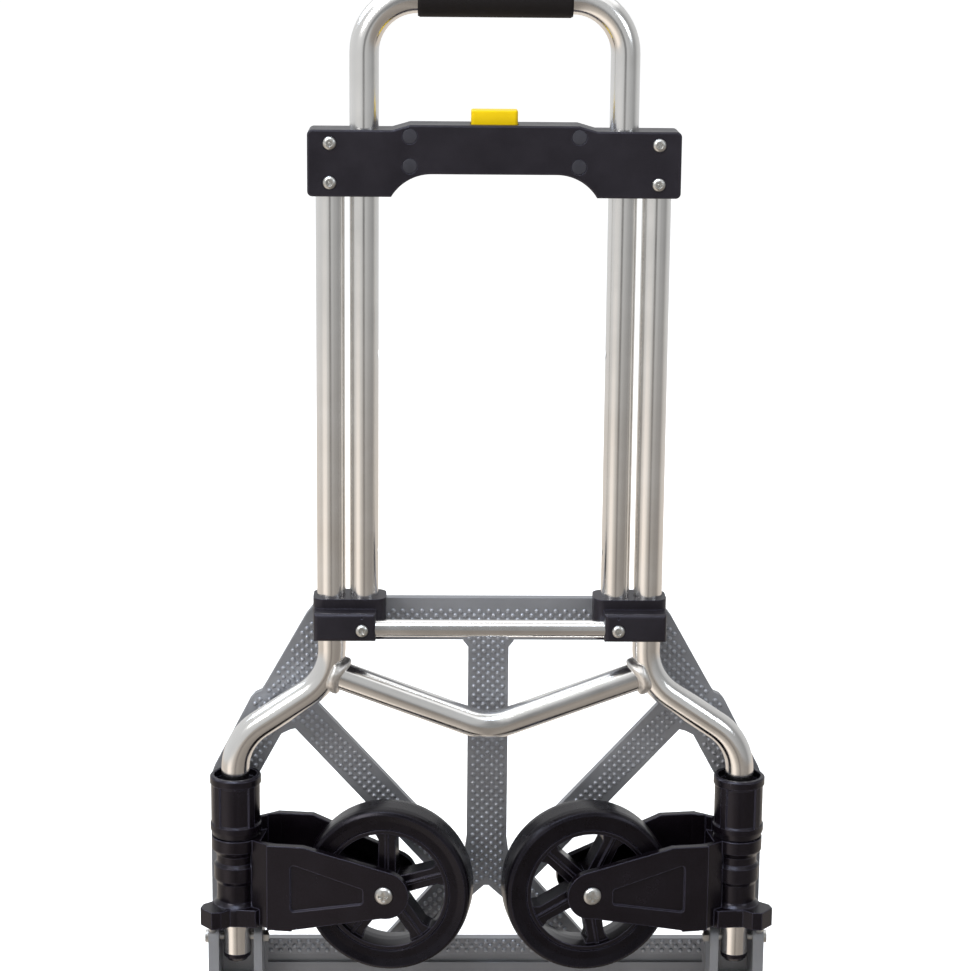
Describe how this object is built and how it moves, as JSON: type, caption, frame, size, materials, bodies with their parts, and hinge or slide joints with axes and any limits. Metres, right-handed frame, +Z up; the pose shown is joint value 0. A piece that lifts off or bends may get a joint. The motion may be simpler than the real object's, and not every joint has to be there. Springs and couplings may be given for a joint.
{
  "type": "hand truck",
  "caption": "Folding hand truck with telescopic handle, release button, open cast load platform and swing-in wheels.",
  "frame": {"origin": "centre of the bounding box at its lowest level, truck folded and standing upright", "axes": "+Z up along the handle, +Y towards the load platform, X across the truck"},
  "size_m": [0.409, 0.0674, 0.7345],
  "materials": {
    "polished_tube": "polished",
    "weld_metal": "satin",
    "black_plastic": "semi-gloss, lightly textured",
    "wheel_plastic": "semi-gloss",
    "tyre_rubber": "smooth",
    "grip_rubber": "matte, fine grain",
    "yellow_plastic": "satin",
    "zinc_steel": "zinc plated",
    "spring_steel": "plain",
    "cast_grey": "painted casting, satin",
    "bearing_nylon": "natural"
  },
  "bodies": {
    "frame": {"left_side_tube": "polished_tube", "right_side_tube": "polished_tube", "brace_tube": "polished_tube", "weld_beads": "weld_metal", "housing_front": "black_plastic", "housing_back": "black_plastic", "housing_rivets": "zinc_steel", "housing_screws": "zinc_steel", "left_spring_collar": "black_plastic", "right_spring_collar": "black_plastic", "left_torsion_spring": "spring_steel", "right_torsion_spring": "spring_steel", "left_leg_plug": "black_plastic", "right_leg_plug": "black_plastic", "left_hinge_pin": "zinc_steel", "right_hinge_pin": "zinc_steel", "left_thrust_washer": "zinc_steel", "right_thrust_washer": "zinc_steel", "button_spring": "spring_steel"},
    "handle": {"handle_tube": "polished_tube", "hand_grip": "grip_rubber", "left_slide_clamp": "black_plastic", "right_slide_clamp": "black_plastic", "lower_crossbar": "polished_tube", "clamp_rivets": "zinc_steel"},
    "button": {"release_button": "yellow_plastic"},
    "left_lock": {"left_lock_pin": "zinc_steel"},
    "right_lock": {"right_lock_pin": "zinc_steel"},
    "platform": {"platform_casting": "cast_grey", "left_drive_peg": "zinc_steel", "right_drive_peg": "zinc_steel"},
    "left_bracket": {"left_wheel_bracket": "black_plastic", "left_axle_bolt": "zinc_steel", "left_axle_nut": "zinc_steel"},
    "right_bracket": {"right_wheel_bracket": "black_plastic", "right_axle_bolt": "zinc_steel", "right_axle_nut": "zinc_steel"},
    "left_wheel": {"left_wheel_hub": "wheel_plastic", "left_tyre": "tyre_rubber", "left_wheel_bush": "bearing_nylon"},
    "right_wheel": {"right_wheel_hub": "wheel_plastic", "right_tyre": "tyre_rubber", "right_wheel_bush": "bearing_nylon"}
  },
  "joints": [
    {"name": "platform_fold", "type": "hinge", "parent": "frame", "child": "platform", "pos_m": [0, 0.0057, 0.053], "axis": [-1, 0, 0], "range_deg": [0, 90]},
    {"name": "left_wheel_swing", "type": "hinge", "parent": "frame", "child": "left_bracket", "pos_m": [-0.1795, 0.0057, 0.1], "axis": [0, 0, -1], "range_deg": [0, 82]},
    {"name": "right_wheel_swing", "type": "hinge", "parent": "frame", "child": "right_bracket", "pos_m": [0.1795, 0.0057, 0.1], "axis": [0, 0, 1], "range_deg": [0, 82]},
    {"name": "left_wheel_spin", "type": "hinge", "parent": "left_bracket", "child": "left_wheel", "pos_m": [-0.07036, -0.00813, 0.0985], "axis": [0.1392, 0.9903, 0], "continuous": true},
    {"name": "right_wheel_spin", "type": "hinge", "parent": "right_bracket", "child": "right_wheel", "pos_m": [0.07036, -0.00813, 0.0985], "axis": [-0.1392, 0.9903, 0], "continuous": true},
    {"name": "handle_slide", "type": "slide", "parent": "frame", "child": "handle", "axis": [0, 0, 1], "range_m": [0, 0.28]},
    {"name": "button_press", "type": "slide", "parent": "frame", "child": "button", "axis": [0, 0, -1], "range_m": [0, 0.005], "stiffness_N_per_m": 400, "springref_m": -0.008, "deforming": ["button_spring"]},
    {"name": "left_lock_slide", "type": "slide", "parent": "frame", "child": "left_lock", "axis": [1, 0, 0], "range_m": [0, 0.004]},
    {"name": "right_lock_slide", "type": "slide", "parent": "frame", "child": "right_lock", "axis": [-1, 0, 0], "range_m": [0, 0.004]}
  ],
  "couplings": [
    {"joint": "left_wheel_swing", "follows": "platform_fold", "ratio": 0.911},
    {"joint": "right_wheel_swing", "follows": "platform_fold", "ratio": 0.911},
    {"joint": "left_lock_slide", "follows": "button_press", "ratio": 0.8},
    {"joint": "right_lock_slide", "follows": "button_press", "ratio": 0.8}
  ]
}
